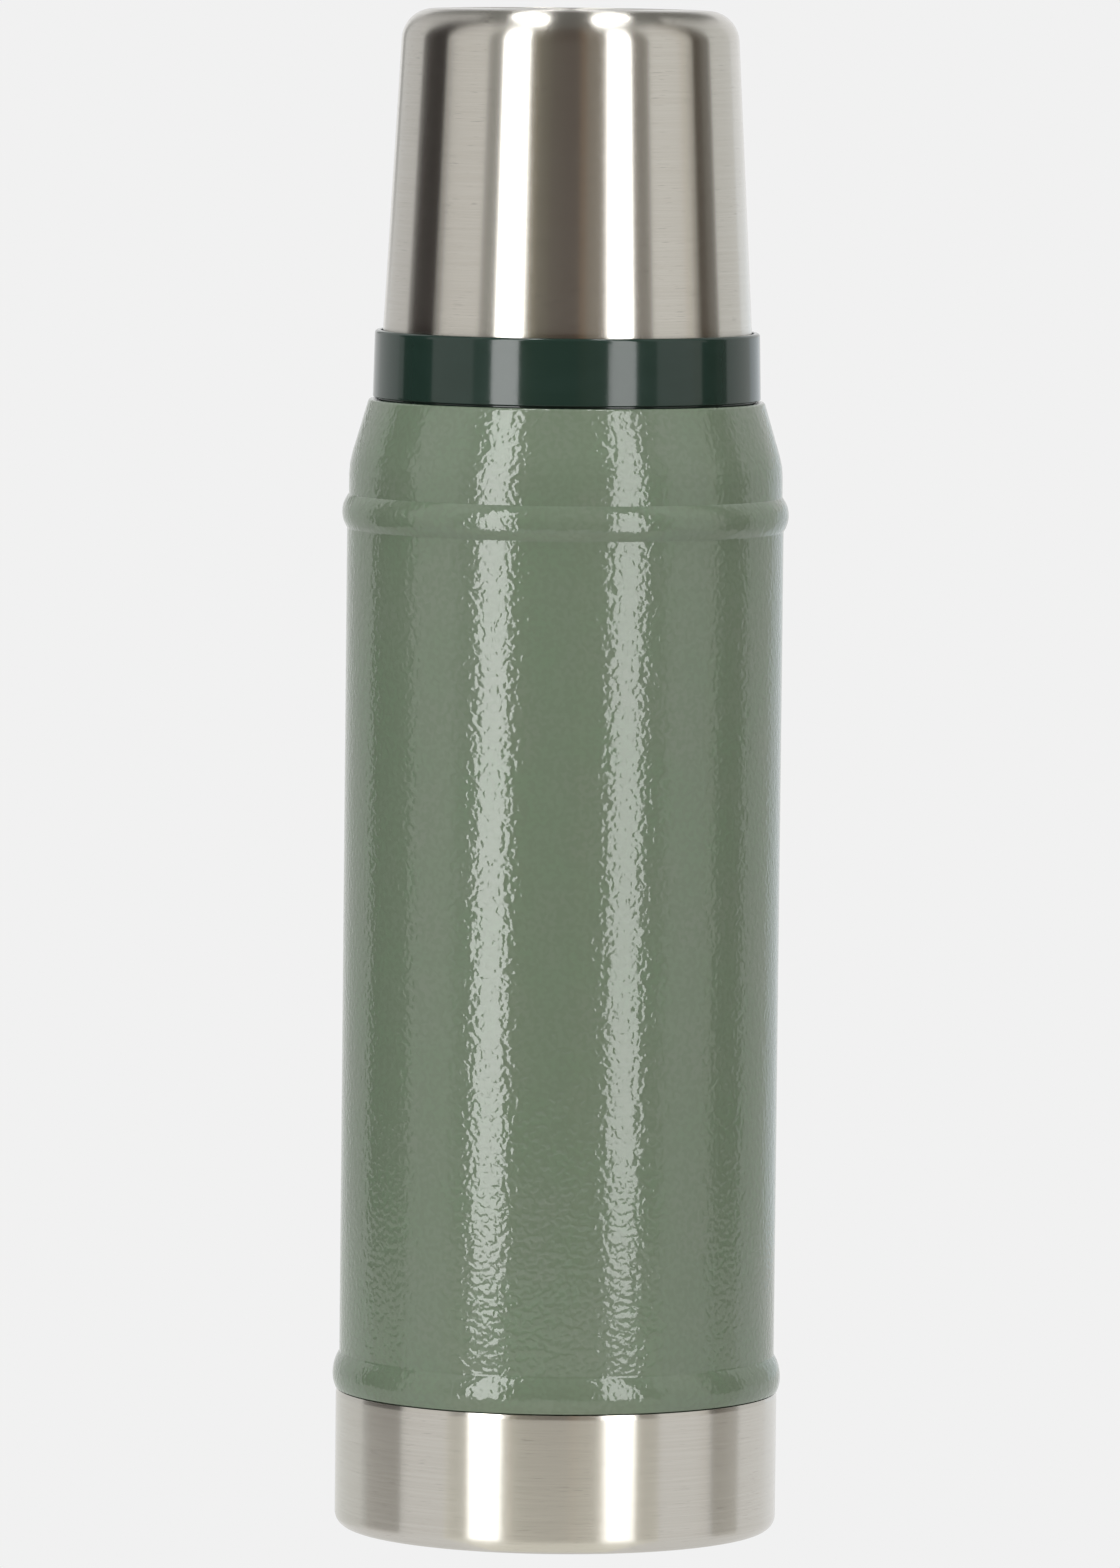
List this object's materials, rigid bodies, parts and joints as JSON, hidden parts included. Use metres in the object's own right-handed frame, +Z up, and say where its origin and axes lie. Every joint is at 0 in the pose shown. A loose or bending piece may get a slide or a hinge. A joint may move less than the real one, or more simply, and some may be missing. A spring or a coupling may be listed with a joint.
{
  "type": "vacuum flask",
  "caption": "Slim upright steel vacuum flask with a painted body, bare steel base, threaded pour-through stopper and screw-on drinking cup.",
  "frame": {"origin": "centre of the flat ring under the base, on the flask's axis", "axes": "+Z up along the flask's axis, towards the cup; the outside is round, so +X and +Y are free"},
  "size_m": [0.0864, 0.0864, 0.293],
  "materials": {
    "hammertone_paint": "glossy sage-green hammertone paint",
    "brushed_steel": "fine brushing round the axis",
    "satin_steel": "satin, as drawn and electropolished",
    "green_plastic": "glossy dark green moulding",
    "stopper_plastic": "fine matt dark green moulding",
    "silicone": "matt grey silicone",
    "foil": "bright foil",
    "foam": "open-cell foam",
    "adhesive": "cured bead",
    "getter_alloy": "sintered grey metal"
  },
  "bodies": {
    "flask": {"outer_shell": "hammertone_paint", "neck_ring": "satin_steel", "inner_vessel": "satin_steel", "vessel_neck": "satin_steel", "inner_bottom": "satin_steel", "outer_bottom": "satin_steel", "vacuum_seal_bead": "getter_alloy", "radiation_foil": "foil", "getter_pellet": "getter_alloy", "getter_clip": "satin_steel", "base_cup": "brushed_steel", "base_bond_ring": "adhesive"},
    "stopper_seal": {"stopper_gasket": "silicone", "drip_ring": "silicone"},
    "stopper": {"stopper_body": "stopper_plastic", "stopper_plug": "stopper_plastic", "stopper_foam": "foam", "stopper_cap": "stopper_plastic"},
    "cup_seal": {"cup_seal_ring": "silicone"},
    "cup": {"cup_shell": "brushed_steel", "cup_liner": "satin_steel", "cup_collar": "green_plastic"}
  },
  "joints": [
    {"name": "cup_lift", "type": "slide", "parent": "flask", "child": "cup_seal", "axis": [0, 0, 1], "range_m": [0, 0.072]},
    {"name": "cup_turn", "type": "hinge", "parent": "cup_seal", "child": "cup", "pos_m": [0, 0, 0.2245], "axis": [0, 0, 1], "range_deg": [0, 2159]},
    {"name": "stopper_lift", "type": "slide", "parent": "flask", "child": "stopper_seal", "axis": [0, 0, 1], "range_m": [0, 0.03]},
    {"name": "stopper_turn", "type": "hinge", "parent": "stopper_seal", "child": "stopper", "pos_m": [0, 0, 0.2195], "axis": [0, 0, 1], "range_deg": [0, 1349]}
  ],
  "couplings": [
    {"joint": "cup_lift", "follows": "cup_turn", "m_per_rad": 0.0019099},
    {"joint": "stopper_lift", "follows": "stopper_turn", "m_per_rad": 0.0012732}
  ]
}
